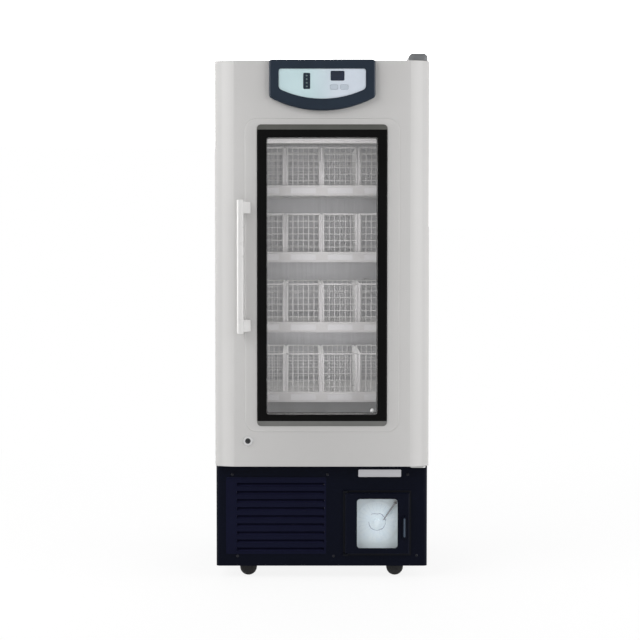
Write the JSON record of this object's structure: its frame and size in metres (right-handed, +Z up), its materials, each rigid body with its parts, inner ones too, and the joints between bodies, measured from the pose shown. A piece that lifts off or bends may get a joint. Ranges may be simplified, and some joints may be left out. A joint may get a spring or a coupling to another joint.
{
  "type": "blood bank refrigerator",
  "caption": "Upright blood bank refrigerator with a glazed hinged door, roll-out drawers of wire baskets, a chart recorder and a machine base on castors.",
  "frame": {"origin": "on the floor, under the centre of the bounding box", "axes": "+X to the viewer's right, +Y into the depth with the door facing -Y, +Z up"},
  "size_m": [0.625, 0.673, 1.541],
  "materials": {
    "cabinet_enamel": "smooth light grey-white enamel",
    "foam": "rigid insulation foam",
    "frame_plastic": "moulded off-white plastic",
    "stainless": "brushed stainless sheet",
    "black_plastic": "satin black moulding",
    "glass": "clear double glazing",
    "spacer": "mill finish",
    "seal": "soft grey seal",
    "handle_plastic": "light grey plastic",
    "control_dark": "dark blue-black plastic",
    "fascia": "pale blue-grey film",
    "key_grey": "soft grey key",
    "lock_metal": "plated",
    "plated_steel": "zinc-plated steel",
    "hinge_cap": "dark grey cap",
    "tray_white": "white powder coat",
    "basket_wire": "white coated wire",
    "duct_white": "white moulded cover",
    "fins": "bare fins",
    "fan_plastic": "black fan",
    "lamp": "milky diffuser",
    "bottle": "translucent bottle",
    "base_dark": "blue-black moulding",
    "base_sheet": "black powder coat",
    "pan_steel": "galvanised sheet",
    "compressor_black": "black enamel",
    "copper": "copper tube",
    "tyre": "black tread",
    "chart_paper": "printed-paper disc, left plain",
    "pen": "thin metal arm"
  },
  "bodies": {
    "cabinet": {"outer_shell": "cabinet_enamel", "cabinet_foam": "foam", "inner_liner": "stainless", "face_frame": "frame_plastic", "lock_strike": "plated_steel", "hinge_brackets": "plated_steel", "hinge_cover": "hinge_cap", "drawer_rails": "stainless", "air_duct_cover": "duct_white", "evaporator_coil": "fins", "fan_motors": "pan_steel", "light_strip": "lamp", "sensor_bottle": "bottle", "front_grille": "base_dark", "base_side_covers": "base_sheet", "rear_grille": "base_sheet", "power_inlet": "black_plastic", "base_chassis": "pan_steel", "compressor": "compressor_black", "condenser_coil": "fins", "fan_shroud": "base_sheet", "refrigerant_lines": "copper", "control_box": "pan_steel", "castor_brackets": "plated_steel", "recorder_body": "black_plastic"},
    "door": {"door_skin": "cabinet_enamel", "door_foam": "foam", "door_inner_frame": "frame_plastic", "window_bezel": "black_plastic", "glass_panes": "glass", "glass_spacer": "spacer", "door_gasket": "seal", "door_handle": "handle_plastic", "control_housing": "control_dark", "control_fascia": "fascia", "lock_housing": "lock_metal", "hinge_bushes": "black_plastic"},
    "lock_barrel": {"lock_barrel": "lock_metal"},
    "key_left": {"key_left": "key_grey"},
    "key_right": {"key_right": "key_grey"},
    "drawer_1": {"drawer_tray_1": "tray_white", "wire_baskets_1": "basket_wire"},
    "drawer_2": {"drawer_tray_2": "tray_white", "wire_baskets_2": "basket_wire"},
    "drawer_3": {"drawer_tray_3": "tray_white", "wire_baskets_3": "basket_wire"},
    "drawer_4": {"drawer_tray_4": "tray_white", "wire_baskets_4": "basket_wire"},
    "recorder_door": {"recorder_door": "base_dark", "recorder_pane": "glass"},
    "chart_disc": {"chart_disc": "chart_paper"},
    "pen_arm": {"pen_arm": "pen"},
    "evaporator_fan": {"evaporator_fan": "fan_plastic"},
    "condenser_fan": {"condenser_fan": "fan_plastic"},
    "castor_fork_left": {"castor_fork_left": "plated_steel"},
    "castor_fork_right": {"castor_fork_right": "plated_steel"},
    "front_wheel_left": {"front_wheel_left": "tyre"},
    "front_wheel_right": {"front_wheel_right": "tyre"},
    "rear_wheel_left": {"rear_wheel_left": "tyre"},
    "rear_wheel_right": {"rear_wheel_right": "tyre"}
  },
  "joints": [
    {"name": "door_hinge", "type": "hinge", "parent": "cabinet", "child": "door", "pos_m": [0.2925, -0.2665, 0.9], "axis": [0, 0, 1], "range_deg": [0, 110]},
    {"name": "lock_turn", "type": "hinge", "parent": "door", "child": "lock_barrel", "pos_m": [-0.2165, -0.2945, 0.4124], "axis": [0, 1, 0], "range_deg": [0, 90]},
    {"name": "key_left_press", "type": "slide", "parent": "door", "child": "key_left", "axis": [0, 1, 0], "range_m": [0, 0.0007], "stiffness_N_per_m": 400},
    {"name": "key_right_press", "type": "slide", "parent": "door", "child": "key_right", "axis": [0, 1, 0], "range_m": [0, 0.0007], "stiffness_N_per_m": 400},
    {"name": "drawer_1_slide", "type": "slide", "parent": "cabinet", "child": "drawer_1", "axis": [0, -1, 0], "range_m": [0, 0.24]},
    {"name": "drawer_2_slide", "type": "slide", "parent": "cabinet", "child": "drawer_2", "axis": [0, -1, 0], "range_m": [0, 0.24]},
    {"name": "drawer_3_slide", "type": "slide", "parent": "cabinet", "child": "drawer_3", "axis": [0, -1, 0], "range_m": [0, 0.24]},
    {"name": "drawer_4_slide", "type": "slide", "parent": "cabinet", "child": "drawer_4", "axis": [0, -1, 0], "range_m": [0, 0.24]},
    {"name": "recorder_door_hinge", "type": "hinge", "parent": "cabinet", "child": "recorder_door", "pos_m": [0.0725, -0.2583, 0.1634], "axis": [0, 0, -1], "range_deg": [0, 110]},
    {"name": "chart_turn", "type": "hinge", "parent": "cabinet", "child": "chart_disc", "pos_m": [0.1635, -0.2295, 0.1634], "axis": [0, 1, 0], "continuous": true},
    {"name": "pen_swing", "type": "hinge", "parent": "cabinet", "child": "pen_arm", "pos_m": [0.21768, -0.2355, 0.22136], "axis": [0, -1, 0], "range_deg": [0, 37]},
    {"name": "evaporator_fan_spin", "type": "hinge", "parent": "cabinet", "child": "evaporator_fan", "pos_m": [0, -0.0635, 1.321], "axis": [0, 0, 1], "continuous": true},
    {"name": "condenser_fan_spin", "type": "hinge", "parent": "cabinet", "child": "condenser_fan", "pos_m": [-0.148, -0.1125, 0.162], "axis": [0, 1, 0], "continuous": true},
    {"name": "front_castor_left_swivel", "type": "hinge", "parent": "cabinet", "child": "castor_fork_left", "pos_m": [-0.238, -0.1985, 0.056], "axis": [0, 0, 1], "continuous": true},
    {"name": "front_wheel_left_spin", "type": "hinge", "parent": "castor_fork_left", "child": "front_wheel_left", "pos_m": [-0.218, -0.1985, 0.025], "axis": [0, 1, 0], "continuous": true},
    {"name": "rear_wheel_left_spin", "type": "hinge", "parent": "cabinet", "child": "rear_wheel_left", "pos_m": [-0.238, 0.2595, 0.025], "axis": [1, 0, 0], "continuous": true},
    {"name": "front_castor_right_swivel", "type": "hinge", "parent": "cabinet", "child": "castor_fork_right", "pos_m": [0.238, -0.1985, 0.056], "axis": [0, 0, 1], "continuous": true},
    {"name": "front_wheel_right_spin", "type": "hinge", "parent": "castor_fork_right", "child": "front_wheel_right", "pos_m": [0.218, -0.1985, 0.025], "axis": [0, 1, 0], "continuous": true},
    {"name": "rear_wheel_right_spin", "type": "hinge", "parent": "cabinet", "child": "rear_wheel_right", "pos_m": [0.238, 0.2595, 0.025], "axis": [1, 0, 0], "continuous": true}
  ],
  "couplings": [
    {"joint": "drawer_1_slide", "follows": "door_hinge", "m_per_rad": 0.12},
    {"joint": "drawer_2_slide", "follows": "door_hinge", "m_per_rad": 0.12},
    {"joint": "drawer_3_slide", "follows": "door_hinge", "m_per_rad": 0.12},
    {"joint": "drawer_4_slide", "follows": "door_hinge", "m_per_rad": 0.12}
  ]
}
